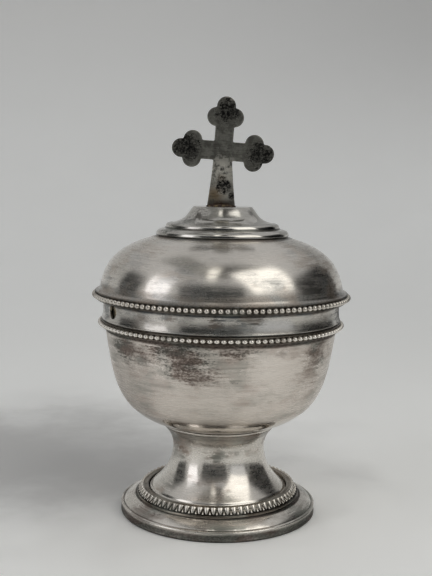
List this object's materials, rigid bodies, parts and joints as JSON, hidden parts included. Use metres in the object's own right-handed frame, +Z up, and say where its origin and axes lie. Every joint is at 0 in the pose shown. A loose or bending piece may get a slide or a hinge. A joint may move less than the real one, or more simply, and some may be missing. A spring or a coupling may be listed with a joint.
{
  "type": "ciborium",
  "caption": "Small covered ciborium of spun silver plate: moulded foot, waisted stem, round bowl with an inner neck, and a domed lift-off lid that carries a budded cross.",
  "frame": {"origin": "middle of the foot, on the surface that it stands on", "axes": "+Z up along the turning axis, towards the cross; the face of the cross looks along -Y"},
  "size_m": [0.07, 0.07, 0.1129],
  "materials": {
    "silver_polished": "polished silver plate with spin lines and patches of tarnish",
    "silver_worn": "dull worn silver plate with a warm tarnish",
    "silver_tarnished": "dark, pitted and blackened silver plate",
    "silver_gilt": "thin worn gilding over silver plate",
    "brass_fittings": "dull turned brass"
  },
  "bodies": {
    "vessel": {"foot_base": "silver_worn", "foot_bead_wire": "silver_worn", "stem": "silver_polished", "bowl": "silver_worn", "bowl_bead_wire": "silver_worn", "bowl_neck": "silver_gilt", "bowl_stud": "brass_fittings", "bearing_plate": "brass_fittings", "stud_washer": "brass_fittings", "stud_nut": "brass_fittings"},
    "lid": {"lid_dome": "silver_polished", "lid_pedestal": "silver_polished", "lid_bead_wire": "silver_polished", "lid_collar": "silver_polished", "cross": "silver_tarnished"}
  },
  "joints": [
    {"name": "lid_lift", "type": "slide", "parent": "vessel", "child": "lid", "axis": [0, 0, 1], "range_m": [0, 0.08]}
  ]
}
